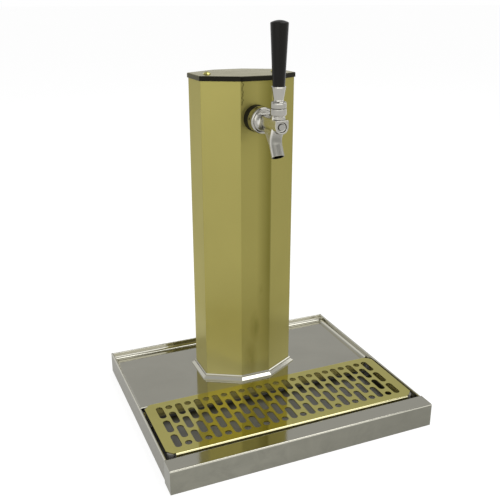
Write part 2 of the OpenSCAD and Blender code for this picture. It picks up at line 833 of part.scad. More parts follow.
// Cast and plated body of the tap
module faucet_body() {
    finger_slot_w = 2 * finger_r + 1.4;
    finger_slot_d = 12;
    guide_end_y = lever_y - 3;
    color("silver") difference() {
        union() {
            body_outside();
            lever_rod(tap_z, boss_top_z - boss_chamfer, boss_r, boss_r);
            lever_rod(boss_top_z - boss_chamfer, boss_top_z, boss_r, boss_r - boss_chamfer);
            lever_rod(
                boss_top_z - boss_chamfer, bonnet_z + thread_len, thread_r, thread_r);
        }
        rod_y(seat_y, body_back_y + 1, inlet_r, inlet_r);
        rod_y(seat_y - seat_t - 1, seat_y + 1, seat_hole_r, seat_hole_r);
        rod_y(guide_end_y, seat_y - seat_t, chamber_r, chamber_r);
        rod_y(nose_y - 1, lever_y, shaft_r + run_fit, shaft_r + run_fit);
        rod_y(nose_y - 1, nose_y + recess_len, recess_r, recess_r);
        spout_path(spout_bore_r, spout_top_len - 6, 1);
        lever_rod(pivot_z - boss_bore_depth, bonnet_z + thread_len + 1, boss_bore_r, boss_bore_r);
        lever_rod(pivot_z - boss_mouth_depth, pivot_z, boss_bore_r - 1, boss_bore_r - 1);
        translate([-finger_slot_w / 2, lever_y - finger_slot_d / 3, tap_z])
            cube([finger_slot_w, finger_slot_d, pivot_up - ball_r + 1]);
    }
}

// Shaft that opens the valve when the lever pushes it back
module valve_shaft() {
    front_y = nose_y + 1.2;
    slot_half = finger_r + finger_fit;
    slot_floor_z = tap_z - slot_half;
    color("lightgray") difference() {
        union() {
            rod_y(front_y, lever_y + 6, shaft_r, shaft_r);
            rod_y(lever_y + 5, seat_y, stem_r, stem_r);
            rod_y(seat_y - 1, seat_y + stem_end_len, stem_end_r, stem_end_r);
        }
        // Slot for the lever's finger, flared so that the finger can lean
        translate([0, lever_y, 0]) run_x(-slot_half, slot_half) polygon([
            [-slot_half, slot_floor_z], [slot_half, slot_floor_z], [slot_half, tap_z],
            [2 * slot_half, tap_z + 2 * slot_half], [-2 * slot_half, tap_z + 2 * slot_half],
            [-slot_half, tap_z]
        ]);
    }
}

// Rubber washer that closes the seat
module valve_washer() {
    bore_r = stem_end_r + nest_fit / 2;
    color("black") difference() {
        rod_y(seat_y, seat_y + valve_washer_t, inlet_r - 1.4, inlet_r - 1.4);
        rod_y(seat_y - 1, seat_y + valve_washer_t + 1, bore_r, bore_r);
    }
}

// Nut that keeps the washer on the shaft
module valve_nut() {
    nut_h = 2.5;
    y0 = seat_y + valve_washer_t;
    bore_r = stem_end_r + nest_fit / 2;
    color("silver") difference() {
        hex_y(y0, y0 + nut_h, 4.5);
        rod_y(y0 - 1, y0 + nut_h + 1, bore_r, bore_r);
    }
}

// Lower ring that carries the lever's ball
module ball_seat() {
    color("white") difference() {
        lever_rod(
            pivot_z - boss_bore_depth, pivot_z - boss_bore_depth + 2,
            boss_bore_r - nest_fit, boss_bore_r - nest_fit);
        translate([0, lever_y, pivot_z]) sphere(r = ball_r + free_gap);
    }
}

// Upper ring that presses on the lever's ball
module friction_washer() {
    color("white") difference() {
        lever_rod(pivot_z + 1, pivot_z + 2.2, boss_bore_r - nest_fit, boss_bore_r - nest_fit);
        translate([0, lever_y, pivot_z]) sphere(r = ball_r + free_gap);
    }
}

// Threaded bonnet that holds the ball down, with a flared mouth for the lever
module bonnet() {
    foot_round_r = 2.2;
    mouth_r = 5;
    mouth_top_r = 8.5;
    shoulder_z = pivot_z + 2.2;
    foot_r = bonnet_r - foot_round_r;
    rim_r = bonnet_r - bonnet_round_r;
    profile = concat(
        [[0, bonnet_z]],
        [for (a = [-90:15:0]) [
            foot_r + foot_round_r * cos(a), bonnet_z + foot_round_r * (1 + sin(a))]],
        [for (a = [0:15:90]) [
            rim_r + bonnet_round_r * cos(a), bonnet_top_z + bonnet_round_r * (sin(a) - 1)]],
        [[0, bonnet_top_z]]
    );
    color("silver") difference() {
        translate([0, lever_y, 0]) rotate_extrude() polygon(profile);
        lever_rod(
            bonnet_z - 1, bonnet_z + thread_len + nest_fit,
            thread_r + nest_fit, thread_r + nest_fit);
        lever_rod(bonnet_z, shoulder_z, boss_bore_r - nest_fit, boss_bore_r - nest_fit);
        lever_rod(shoulder_z - eps, bonnet_top_z, mouth_r, mouth_top_r);
        lever_rod(bonnet_top_z - eps, bonnet_top_z + 1, mouth_top_r, mouth_top_r);
    }
}

// Ball lever with its collar above and finger below
module tap_lever() {
    h = collar_top_z - collar_z;
    foot_round_r = 1;
    top_r = 7;
    shoulder_h = 3.4;
    profile = concat(
        [[0, 0]],
        [for (a = [-90:30:0]) [
            collar_r - foot_round_r * (1 - cos(a)), foot_round_r * (1 + sin(a))]],
        [for (a = [0:15:90]) [
            top_r + (collar_r - top_r) * cos(a), h - shoulder_h * (1 - sin(a))]],
        [[0, h]]
    );
    color("silver") translate([0, lever_y, 0]) {
        difference() {
            translate([0, 0, collar_z]) rotate_extrude() polygon(profile);
            translate([0, 0, pivot_z]) sphere(r = collar_clear_r);
        }
        translate([0, 0, pivot_z]) sphere(r = ball_r);
        translate([0, 0, pivot_z]) cylinder(h = collar_top_z - pivot_z, r = neck_r);
        translate([0, 0, collar_top_z - 1]) cylinder(h = stud_len + 1, r = stud_r);
        translate([0, 0, tap_z]) cylinder(h = pivot_up, r = finger_r);
        translate([0, 0, tap_z]) sphere(r = finger_r);
    }
}

// Conical ferrule under the handle
module handle_ferrule() {
    lip_h = 1.6;
    waist_r = 6.3;
    rim_r = handle_foot_r + 1.3;
    color("silver") difference() {
        union() {
            lever_rod(ferrule_z, ferrule_z + lip_h, waist_r + 0.3, waist_r);
            lever_rod(ferrule_z + lip_h, handle_z - lip_h, waist_r, rim_r - 0.3);
            lever_rod(handle_z - lip_h, handle_z, rim_r, rim_r - 0.2);
        }
        lever_rod(ferrule_z - 1, handle_z, stud_r + nest_fit / 2, stud_r + nest_fit / 2);
        lever_rod(handle_z - tenon_len, handle_z + 1, tenon_r + nest_fit, tenon_r + nest_fit);
    }
}

// Tapered black handle with a low domed top
module tap_handle() {
    dome_h = 2.5;
    edge = 0.8;
    top_z = handle_z + handle_len;
    bore_z = collar_top_z + stud_len + 1;
    dome_r = (pow(handle_top_r - edge, 2) + pow(dome_h, 2)) / (2 * dome_h);
    color([0.16, 0.16, 0.14]) translate([0, lever_y, 0]) difference() {
        union() {
            translate([0, 0, handle_z - tenon_len]) cylinder(h = tenon_len + eps, r = tenon_r);
            translate([0, 0, handle_z])
                cylinder(h = handle_len - edge, r1 = handle_foot_r, r2 = handle_top_r);
            translate([0, 0, top_z - edge])
                cylinder(h = edge, r1 = handle_top_r, r2 = handle_top_r - edge);
            intersection() {
                translate([0, 0, top_z + dome_h - dome_r]) sphere(r = dome_r);
                translate([0, 0, top_z - eps]) cylinder(h = dome_h + 1, r = handle_top_r - edge);
            }
        }
        translate([0, 0, handle_z - tenon_len - 1])
            cylinder(h = bore_z - handle_z + tenon_len + 1, r = stud_r + nest_fit / 2);
    }
}

base_housing();
front_apron();
rubber_feet();
drip_pan();
drip_grille();
grille_feet();
tower_gasket();
column_foot_plate();
tower_bolts();
tower_nuts();
tower_column();
column_trim_ring();
cap_bracket();
tower_cap();
cap_screws();
insulation_sleeve();
beverage_tube();
tail_nut();
tail_washer();
shank_lock_nut();
shank_washer();
faucet_shank();
shank_spacer();
coupling_nut();
coupling_washer();
faucet_body();
valve_shaft();
valve_washer();
valve_nut();
ball_seat();
friction_washer();
bonnet();
tap_lever();
handle_ferrule();
tap_handle();
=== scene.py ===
"""Looks for the countertop beverage tower: finishes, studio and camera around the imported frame."""

import json
import math

import bpy
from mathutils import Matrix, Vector


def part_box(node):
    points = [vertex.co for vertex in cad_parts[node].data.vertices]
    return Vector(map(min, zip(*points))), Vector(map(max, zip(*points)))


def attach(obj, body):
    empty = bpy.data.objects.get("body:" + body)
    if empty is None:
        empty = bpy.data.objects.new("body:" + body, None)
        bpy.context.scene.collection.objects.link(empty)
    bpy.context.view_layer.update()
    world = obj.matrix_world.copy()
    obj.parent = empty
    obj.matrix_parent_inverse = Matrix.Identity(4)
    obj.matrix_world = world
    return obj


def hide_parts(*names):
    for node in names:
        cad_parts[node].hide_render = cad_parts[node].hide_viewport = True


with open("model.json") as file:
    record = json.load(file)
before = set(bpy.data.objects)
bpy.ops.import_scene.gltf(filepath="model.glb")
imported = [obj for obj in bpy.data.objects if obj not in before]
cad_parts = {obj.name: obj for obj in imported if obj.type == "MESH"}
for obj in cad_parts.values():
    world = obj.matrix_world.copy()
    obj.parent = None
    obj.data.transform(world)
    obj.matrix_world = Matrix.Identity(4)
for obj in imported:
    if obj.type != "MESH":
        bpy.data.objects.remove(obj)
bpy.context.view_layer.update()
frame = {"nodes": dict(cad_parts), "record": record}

MM = 0.001


def linear(r, g, b):
    """A colour given as 0 to 255 screen values, turned into linear light with full alpha."""
    def one(v):
        v = v / 255
        return v / 12.92 if v <= 0.04045 else ((v + 0.055) / 1.055) ** 2.4
    return (one(r), one(g), one(b), 1.0)


def shade(colour, factor):
    return (colour[0] * factor, colour[1] * factor, colour[2] * factor, 1.0)


# Colours of the finishes, and of the light, shade and reflections painted on them
STEEL = linear(177, 175, 163)
# Darker copy of the stainless for the base's outward upright walls: painted shade
WALL_STEEL_SHADED = linear(102, 99, 82)
# Darker copy of the stainless for the apron's front: painted shade
APRON_STEEL_SHADED = linear(130, 129, 118)
TRIM_STEEL = linear(190, 188, 176)
# Darker copy of the trim for its upright edges: painted shade
TRIM_EDGE_SHADED = linear(146, 144, 130)
PLAIN_STEEL = linear(150, 149, 144)
PAN_STEEL = linear(130, 129, 125)
BRASS = linear(154, 146, 84)
# Lighter copy of the brass for the column's foot: painted light
FOOT_BRASS_LIT = linear(216, 208, 146)
GRILLE_BRASS = linear(192, 184, 110)
# Darker copy of the brass for painted shade and painted reflection on the column
BRASS_PAINTED_SHADE = linear(106, 100, 44)
RUN_OFF = linear(30, 26, 10)
# Copies of the grille's brass: lighter for its lips as painted light, darker for their hems as
# painted shade, pale for its bends as a painted highlight
LIP_BRASS_LIT = linear(206, 198, 140)
HEM_BRASS_SHADED = linear(96, 90, 44)
EDGE_BRASS_HIGHLIGHT = linear(214, 208, 166)
# Olive colour of the pan's inner walls, a painted reflection of the brass; near-black flange and
# corners, painted shade
PAN_WALL_REFLECTION = linear(196, 184, 112)
PAN_FLANGE_SHADE = linear(14, 13, 8)
PAN_CORNER_SHADE = linear(16, 15, 10)
CHROME = linear(158, 156, 149)
# Painted shade for the tap's creases and hollows, a darker copy for its spout as painted shade, and
# a lighter copy for its flanks as painted light
CHROME_PAINTED_SHADE = linear(10, 10, 8)
SPOUT_CHROME_SHADED = linear(124, 123, 116)
FLANK_CHROME_LIT = linear(214, 212, 204)
CAP = linear(29, 28, 23)
CAP_SIDE_SHEEN = (0.68, 0.66, 0.52, 1)
CAP_TOP_SHEEN = (0.66, 0.59, 0.2, 1)
HANDLE = linear(18, 17, 14)
SPACER = linear(14, 14, 14)
RUBBER = linear(26, 26, 25)
POST = linear(112, 111, 108)
FOAM = linear(60, 60, 60)
NYLON = linear(225, 224, 216)

# Front face and foot of the column, which its painted light, shade and reflection and its run-off
# mark are placed from
column_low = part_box("tower_column")[0]
FRONT_Y = column_low[1]
FOOT_Z = column_low[2]

# Height over which the column turns from its foot, painted lighter as light, to plain brass
FOOT_FADE = 110 * MM

# Height of the tap's axis
nut_low, nut_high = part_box("coupling_nut")
TAP_Z = (nut_low[2] + nut_high[2]) / 2

# Run-off mark on the left of the front face, from the tap's spacer up to the cap
DRIBBLE_X = -18.8 * MM
DRIBBLE_HALF_W = 0.6 * MM
DRIBBLE_SWAY = 2.4 * MM
DRIBBLE_FOOT_Z = TAP_Z + 17 * MM

# Patches of painted reflection on the front face in mm: place across, height above the foot, half
# width, half height
REFLECTION_PATCHES = ((15, 253, 5, 11), (11, 136, 8, 30), (0, 82, 9, 26), (-7, 32, 11, 30))

# Underside, right end, back and rim of the drip pan, which the painted shade and reflection in it
# are placed from
PAN_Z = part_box("drip_pan")[0][2]
PAN_END_X, PAN_BACK_Y, PAN_RIM_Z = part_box("drip_pan")[1]

# Foot of the grille's lips
LIP_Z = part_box("drip_grille")[0][2]

# Camera of the photograph
CAMERA_PLACE = Vector((-371.506, -833.525, 565.831)) * MM
CAMERA_AZIMUTH = math.radians(-23.03)
CAMERA_ELEVATION = math.radians(19.88)

# Point that the softboxes face, and each one's name, direction, distance, width, height and power
LAMP_TARGET = Vector((0, 0, 0.2))
SOFTBOXES = (
    ("overhead_softbox", (0.33, -0.1, 0.94), 2.2, 1.2, 1.2, 13),
    ("front_softbox", (-0.05, -0.93, 0.38), 3.0, 6.0, 1.6, 40),
    ("right_softbox", (0.92, -0.16, 0.38), 2.8, 2.4, 1.4, 12),
    ("left_softbox", (-0.75, -0.5, 0.45), 2.6, 2.6, 2.6, 13),
    ("back_softbox", (-0.45, 0.8, 0.38), 2.8, 2.4, 1.4, 6.5),
)

# World strength at the horizon and overhead, and the heights between which it changes
WORLD_HORIZON, WORLD_OVERHEAD = 1.0, 0.6
WORLD_LOW, WORLD_HIGH = 0.04, 0.26

# Floor: half its width, and its glow where it lights the object and where it is seen
FLOOR_HALF = 60.0
FLOOR_GLOW_LIGHTING, FLOOR_GLOW_SEEN = 0.3, 0.8

# Tap casting: voxel size, rounds of smoothing, and the heights above the spout's mouth where
# the smoothing starts and over which it grows to its full strength
CASTING_VOXEL = 0.45 * MM
CASTING_ROUNDS = 7
CASTING_CRISP = 5 * MM
CASTING_EASE = 6 * MM


class Surface:
    """A node material with one Principled shader and short helpers to wire textures to it."""

    def __init__(self, name):
        self.material = bpy.data.materials.new(name)
        self.material.use_nodes = True
        self.tree = self.material.node_tree
        self.shader = self.tree.nodes["Principled BSDF"]
        self.place = self.node("ShaderNodeTexCoord").outputs["Object"]

    def node(self, kind, **values):
        made = self.tree.nodes.new(kind)
        for key, value in values.items():
            setattr(made, key, value)
        return made

    def link(self, source, target):
        self.tree.links.new(source, target)

    def set(self, **values):
        for key, value in values.items():
            self.shader.inputs[key.replace("_", " ")].default_value = value

    def drive(self, name, source):
        self.link(source, self.shader.inputs[name])

    def stretched(self, sx, sy, sz):
        """The place in the part, scaled along each axis, for textures that run one way."""
        mapping = self.node("ShaderNodeMapping")
        mapping.inputs["Scale"].default_value = (sx, sy, sz)
        self.link(self.place, mapping.inputs["Vector"])
        return mapping.outputs["Vector"]

    def axes(self, vector):
        """The three numbers of a vector."""
        parts = self.node("ShaderNodeSeparateXYZ")
        self.link(vector, parts.inputs[0])
        return parts.outputs

    def noise(self, vector, scale, detail=4.0, roughness=0.55, distortion=0.0):
        made = self.node("ShaderNodeTexNoise")
        made.inputs["Scale"].default_value = scale
        made.inputs["Detail"].default_value = detail
        made.inputs["Roughness"].default_value = roughness
        made.inputs["Distortion"].default_value = distortion
        self.link(vector, made.inputs["Vector"])
        return made.outputs["Fac"]

    def remap(self, value, low, high, to_low, to_high):
        made = self.node("ShaderNodeMapRange")
        for name, number in zip(("From Min", "From Max", "To Min", "To Max"),
                                (low, high, to_low, to_high)):
            made.inputs[name].default_value = number
        self.link(value, made.inputs["Value"])
        return made.outputs["Result"]

    def combine(self, operation, first, second):
        made = self.node("ShaderNodeMath", operation=operation)
        self.link(first, made.inputs[0])
        self.link(second, made.inputs[1])
        return made.outputs[0]

    def times(self, first, second):
        return self.combine("MULTIPLY", first, second)

    def plus(self, first, second):
        return self.combine("ADD", first, second)

    def larger(self, first, second):
        return self.combine("MAXIMUM", first, second)

    def unsigned(self, value):
        made = self.node("ShaderNodeMath", operation="ABSOLUTE")
        self.link(value, made.inputs[0])
        return made.outputs[0]

    def vector(self, operation, first, second=None):
        """A step of vector arithmetic, whose second value is a socket or three numbers."""
        made = self.node("ShaderNodeVectorMath", operation=operation)
        self.link(first, made.inputs[0])
        if isinstance(second, bpy.types.NodeSocket):
            self.link(second, made.inputs[1])
        elif second is not None:
            made.inputs[1].default_value = second
        return made.outputs["Value" if operation in ("DOT_PRODUCT", "LENGTH") else "Vector"]

    def facing(self):
        """The three numbers of the direction that the face looks in."""
        return self.axes(self.node("ShaderNodeNewGeometry").outputs["Normal"])

    def mix(self, factor, first, second):
        made = self.node("ShaderNodeMix", data_type="RGBA")
        self.link(factor, made.inputs["Factor"])
        for socket, colour in ((made.inputs[6], first), (made.inputs[7], second)):
            if isinstance(colour, tuple):
                socket.default_value = colour
            else:
                self.link(colour, socket)
        return made.outputs[2]

    def bump(self, height, strength, distance, below=None):
        made = self.node("ShaderNodeBump")
        made.inputs["Strength"].default_value = strength
        made.inputs["Distance"].default_value = distance
        self.link(height, made.inputs["Height"])
        if below is not None:
            self.link(below, made.inputs["Normal"])
        return made.outputs["Normal"]

    def inward(self, node):
        """One on faces that look towards the upright middle line of a CAD node, else zero."""
        low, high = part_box(node)
        middle = [(a + b) / 2 for a, b in zip(low, high)]
        flat = self.vector("MULTIPLY", self.vector("SUBTRACT", self.place, middle), (1, 1, 0))
        normal = self.node("ShaderNodeNewGeometry").outputs["True Normal"]
        outward = self.vector("DOT_PRODUCT", flat, normal)
        return self.remap(outward, 0.5 * MM, -0.5 * MM, 0, 1)

    def hidden(self, reach, shut, open_):
        """One in places closed in by the surface itself within a reach, zero in open ones."""
        made = self.node("ShaderNodeAmbientOcclusion", samples=8, only_local=True)
        made.inputs["Distance"].default_value = reach
        return self.remap(made.outputs["AO"], shut, open_, 1, 0)

    def bore(self, mount, radius, depth):
        """One on the wall of a mount's bore within a depth of its mouth, else zero."""
        row = next(row for row in frame["record"]["mounts"] if row["name"] == mount)
        away = self.vector("SUBTRACT", self.place, row["pos_m"])
        reach = self.vector("LENGTH", self.vector("CROSS_PRODUCT", away, row["axis"]))
        along = self.vector("DOT_PRODUCT", away, row["axis"])
        within = self.remap(reach, radius + 0.4 * MM, radius, 0, 1)
        return self.times(within, self.remap(along, -depth - 4 * MM, -depth, 0, 1))

    def spot(self, x, z, half_width, half_height):
        """A soft oval on an upright face, one in its middle and zero outside."""
        away = self.vector("SUBTRACT", self.place, (x, 0, z))
        scaled = self.vector("MULTIPLY", away, (1 / half_width, 0, 1 / half_height))
        return self.remap(self.vector("LENGTH", scaled), 1.2, 0.1, 0, 1)

    def eased(self, radius):
        """Normals that ease over the edges, as on bent sheet."""
        made = self.node("ShaderNodeBevel", samples=6)
        made.inputs["Radius"].default_value = radius
        return made.outputs["Normal"]


def smudged(s, cloud, colour, amount):
    """A colour that a noise makes lighter and darker by an amount."""
    spread = s.remap(cloud, 0.35, 0.7, 0.0, 1.0)
    return s.mix(spread, shade(colour, 1 + amount), shade(colour, 1 - amount))


def brush(s):
    """Fine brushing along a sheet, with normals that ease over its bends."""
    grain = s.noise(s.stretched(1, 40, 40), 60, 2)
    s.drive("Normal", s.bump(grain, 0.5, 0.02 * MM, s.eased(0.8 * MM)))


def metal(name, colour, rough, smudge=0.05, smudge_scale=14):
    """Polished or satin metal, smudged lighter and darker."""
    s = Surface(name)
    s.set(Metallic=1.0)
    cloud = s.noise(s.place, smudge_scale, 5, 0.6, 0.4)
    s.drive("Base Color", smudged(s, cloud, colour, smudge))
    s.drive("Roughness", s.remap(cloud, 0.3, 0.75, rough * 0.8, rough * 1.4))
    return s.material


def plastic(name, colour, rough, specular=0.5, texture=0.0, texture_scale=1500):
    """Moulded plastic or rubber with a fine skin texture."""
    s = Surface(name)
    s.set(Specular_IOR_Level=specular)
    cloud = s.noise(s.place, 40, 4)
    s.drive("Base Color", s.mix(cloud, shade(colour, 0.9), shade(colour, 1.12)))
    s.drive("Roughness", s.remap(cloud, 0.3, 0.7, rough * 0.85, rough * 1.2))
    if texture:
        s.drive("Normal", s.bump(s.noise(s.place, texture_scale, 3), 0.4, texture))
    return s.material


def cap_plastic():
    """Glossy moulded cap, with a painted reflection tint that is yellower on top than on its sides.
    """
    s = Surface("cap_plastic")
    s.set(Metallic=0.6, Specular_IOR_Level=0.2)
    cloud = s.noise(s.place, 40, 4)
    s.drive("Base Color", s.mix(cloud, shade(CAP, 0.9), shade(CAP, 1.12)))
    # The top's yellower tint is a painted reflection
    on_top = s.remap(s.facing()[2], 0.5, 0.9, 0, 1)
    s.drive("Specular Tint", s.mix(on_top, CAP_SIDE_SHEEN, CAP_TOP_SHEEN))
    s.drive("Roughness", s.remap(cloud, 0.3, 0.7, 0.12, 0.17))
    return s.material


def deck_steel():
    """Stainless sheet, polished where it lies flat and satin on its upright walls, whose outward
    faces are painted darker as shade.
    """
    s = Surface("deck_steel")
    s.set(Metallic=1.0)
    cloud = s.noise(s.place, 12, 5, 0.6, 0.4)
    # Outward upright walls take the darker copy as painted shade; inward faces keep the flat colour
    top = s.larger(s.remap(s.facing()[2], 0.05, 0.3, 0.0, 1.0), s.inward("base_housing"))
    upright = smudged(s, cloud, WALL_STEEL_SHADED, 0.06)
    s.drive("Base Color", s.mix(top, upright, smudged(s, cloud, STEEL, 0.04)))
    s.drive("Roughness", s.remap(top, 0, 1, 0.32, 0.07))
    brush(s)
    return s.material


def trim_steel():
    """Bright moulding, painted darker as shade on its upright edges and on the slope that faces
    left.
    """
    s = Surface("trim_steel")
    s.set(Metallic=1.0)
    cloud = s.noise(s.place, 14, 5, 0.6, 0.4)
    facing = s.facing()
    slope = s.remap(facing[2], 0.2, 0.5, 0.0, 1.0)
    # The slope that faces left is painted darker as shade
    shaded_left = s.remap(facing[0], -0.35, -0.6, 0.0, 1.0)
    bright = s.mix(shaded_left, TRIM_STEEL, shade(TRIM_STEEL, 0.72))
    s.drive("Base Color", s.mix(slope, TRIM_EDGE_SHADED, bright))
    s.drive("Roughness", s.remap(cloud, 0.3, 0.75, 0.08, 0.14))
    return s.material


def apron_steel():
    """Stainless apron, polished on top and dull with handling marks on its front, which is painted
    darker as shade and darker still towards its right end.
    """
    s = Surface("apron_steel")
    s.set(Metallic=1.0)
    top = s.remap(s.facing()[2], 0.05, 0.3, 0.0, 1.0)
    marks = s.remap(s.noise(s.place, 30, 6, 0.65, 0.8), 0.38, 0.68, 0.0, 1.0)
    marked = s.mix(marks, shade(APRON_STEEL_SHADED, 1.06), shade(APRON_STEEL_SHADED, 0.88))
    rightward = s.remap(s.axes(s.place)[0], -0.1, 0.15, 0, 0.45)
    front = s.mix(rightward, marked, shade(APRON_STEEL_SHADED, 0.7))
    s.drive("Base Color", s.mix(top, front, STEEL))
    s.drive("Roughness", s.remap(top, 0, 1, 0.36, 0.07))
    brush(s)
    return s.material


def cast_chrome():
    """Plated casting, painted lighter on its flat flanks, duller and painted darker as shade at its
    spout, and with painted shade in its creases, its hollows and the mouth of its spout.
    """
    s = Surface("cast_chrome")
    s.set(Metallic=1.0)
    cloud = s.noise(s.place, 60, 5, 0.6, 0.4)
    flank = s.remap(s.unsigned(s.facing()[0]), 0.8, 0.95, 0, 1)
    turned = s.mix(cloud, shade(CHROME, 1.05), shade(CHROME, 0.95))
    plated = s.mix(flank, turned, FLANK_CHROME_LIT)
    low_down = s.remap(s.axes(s.place)[2], TAP_Z - 16 * MM, TAP_Z - 6 * MM, 1, 0)
    spout = s.times(low_down, s.remap(flank, 0, 1, 0.8, 0.3))
    # Painted shade in the creases, the low hollows and the mouth of the spout
    creases = s.hidden(3 * MM, 0.35, 0.7)
    hollows = s.times(low_down, s.hidden(14 * MM, 0.55, 0.9))
    painted_shade = s.larger(s.larger(creases, hollows), s.bore("spout_outlet", 7 * MM, 12 * MM))
    s.drive("Base Color", s.mix(painted_shade, s.mix(spout, plated, SPOUT_CHROME_SHADED), CHROME_PAINTED_SHADE))
    dulled = s.remap(low_down, 0, 1, 1, 2)
    s.drive("Roughness", s.times(dulled, s.remap(cloud, 0.3, 0.75, 0.15, 0.22)))
    return s.material


def grille_brass():
    """Polished brass sheet, with a painted highlight on its bends, painted light on its lips and
    painted shade on their hems.
    """
    s = Surface("grille_brass")
    s.set(Metallic=1.0)
    cloud = s.noise(s.place, 14, 5, 0.6, 0.4)
    upward = s.facing()[2]
    top = smudged(s, cloud, GRILLE_BRASS, 0.05)
    above_hem = s.remap(s.axes(s.place)[2], LIP_Z + 1.6 * MM, LIP_Z + 2 * MM, 0, 1)
    lip = s.mix(above_hem, HEM_BRASS_SHADED, LIP_BRASS_LIT)
    folded = s.times(s.remap(upward, 0.1, 0.3, 0, 1), above_hem)
    bend = s.mix(folded, lip, EDGE_BRASS_HIGHLIGHT)
    outside = s.mix(s.remap(upward, 0.9, 0.97, 0, 1), bend, top)
    s.drive("Base Color", s.mix(s.inward("drip_grille"), outside, top))
    s.drive("Roughness", s.remap(cloud, 0.3, 0.75, 0.05, 0.085))
    return s.material


def pan_steel():
    """Pressed steel pan with a painted olive reflection on its inner walls and painted shade at
    their foot, along its back and ends and on its flange.
    """
    s = Surface("pan_steel")
    cloud = s.noise(s.place, 14, 5, 0.6, 0.4)
    x, y, z = s.axes(s.place)
    lying = s.remap(s.facing()[2], 0.9, 0.995, 0, 1)
    inward = s.inward("drip_pan")
    wall = s.mix(s.remap(z, PAN_Z + 2 * MM, PAN_Z + 9 * MM, 0, 1), PAN_CORNER_SHADE, PAN_WALL_REFLECTION)
    off_ends = s.remap(s.unsigned(x), PAN_END_X - 15 * MM, PAN_END_X - 23 * MM, 0, 1)
    off_back = s.remap(y, PAN_BACK_Y - 8 * MM, PAN_BACK_Y - 26 * MM, 0, 1)
    clear_of_shade = s.times(off_ends, off_back)
    floor = s.mix(clear_of_shade, PAN_CORNER_SHADE, smudged(s, cloud, PAN_STEEL, 0.05))
    below_flange = s.remap(z, PAN_RIM_Z - 2 * MM, PAN_RIM_Z - 2.5 * MM, 0, 1)
    level = s.times(lying, below_flange)
    inside = s.mix(level, wall, floor)
    s.drive("Metallic", s.remap(s.larger(inward, level), 0, 1, 1, 0.3))
    flange = s.remap(z, PAN_RIM_Z - 2.5 * MM, PAN_RIM_Z - 2 * MM, 0, 1)
    whole = s.mix(s.larger(inward, lying), PLAIN_STEEL, inside)
    s.drive("Base Color", s.mix(flange, whole, PAN_FLANGE_SHADE))
    s.drive("Roughness", s.remap(cloud, 0.3, 0.75, 0.3, 0.45))
    return s.material


def reflection_patches(s):
    """Ragged patches of painted reflection at their places on the front face of the column."""
    blots = None
    for x, height, half_width, half_height in REFLECTION_PATCHES:
        oval = s.spot(x * MM, FOOT_Z + height * MM, half_width * MM, half_height * MM)
        blots = oval if blots is None else s.larger(blots, oval)
    ragged = s.noise(s.stretched(1, 1, 0.4), 90, 4, 0.6, 0.5)
    return s.times(blots, s.remap(ragged, 0.3, 0.6, 0.25, 0.6))


def run_off(s, x, z):
    """A thin line that winds down from the cap to the tap's spacer."""
    wind = s.noise(s.stretched(0.01, 0.01, 1), 120, 2)
    sway = s.remap(wind, 0.38, 0.62, -DRIBBLE_SWAY, DRIBBLE_SWAY)
    line = s.node("ShaderNodeMath", operation="COMPARE")
    line.inputs[1].default_value = DRIBBLE_X
    line.inputs[2].default_value = DRIBBLE_HALF_W
    s.link(s.plus(x, sway), line.inputs[0])
    above_tap = s.remap(z, DRIBBLE_FOOT_Z, DRIBBLE_FOOT_Z + 1 * MM, 0, 0.7)
    return s.times(line.outputs[0], above_tap)


def column_brass():
    """Satin brass, painted lighter at its foot and darker as shade on its front and right faces,
    with a dark band and patches of painted reflection and a run-off mark in front.
    """
    s = Surface("column_brass")
    s.set(Specular_Tint=(0.75, 0.72, 0.5, 1), Specular_IOR_Level=0.2)
    cloud = s.noise(s.place, 7, 3, 0.5, 0.3)
    x, y, z = s.axes(s.place)
    s.drive("Metallic", s.remap(z, FOOT_Z, FOOT_Z + FOOT_FADE, 0.35, 0.65))
    worn = s.mix(s.remap(cloud, 0.1, 0.9, 0, 1), shade(BRASS, 1.07), shade(BRASS, 0.92))
    # The foot is painted lighter as light
    lit_foot = s.mix(s.remap(z, FOOT_Z + FOOT_FADE, FOOT_Z, 0, 0.34), worn, FOOT_BRASS_LIT)
    # Front and right faces are painted darker as shade
    right_shaded = s.mix(s.remap(s.facing()[0], -0.4, 0.0, 0, 0.3), lit_foot, BRASS_PAINTED_SHADE)
    front = s.remap(y, FRONT_Y + 1.5 * MM, FRONT_Y + 0.5 * MM, 0, 1)
    # Dark band on the right of the front face: a painted reflection
    band = s.times(s.remap(x, 2 * MM, 20 * MM, 0, 0.9), s.remap(z, 60 * MM, 200 * MM, 0.35, 1))
    painted_dark = s.mix(s.times(front, s.larger(band, reflection_patches(s))), right_shaded, BRASS_PAINTED_SHADE)
    s.drive("Base Color", s.mix(s.times(front, run_off(s, x, z)), painted_dark, RUN_OFF))
    # Kept above 0.274, since below it the denoiser draws the noise as embossed lines
    rough = s.remap(z, FOOT_Z + 90 * MM, FOOT_Z + 20 * MM, 0.32, 0.45)
    s.drive("Roughness", s.times(rough, s.remap(cloud, 0.1, 0.9, 0.9, 1.1)))
    s.drive("Normal", s.eased(1.2 * MM))
    return s.material


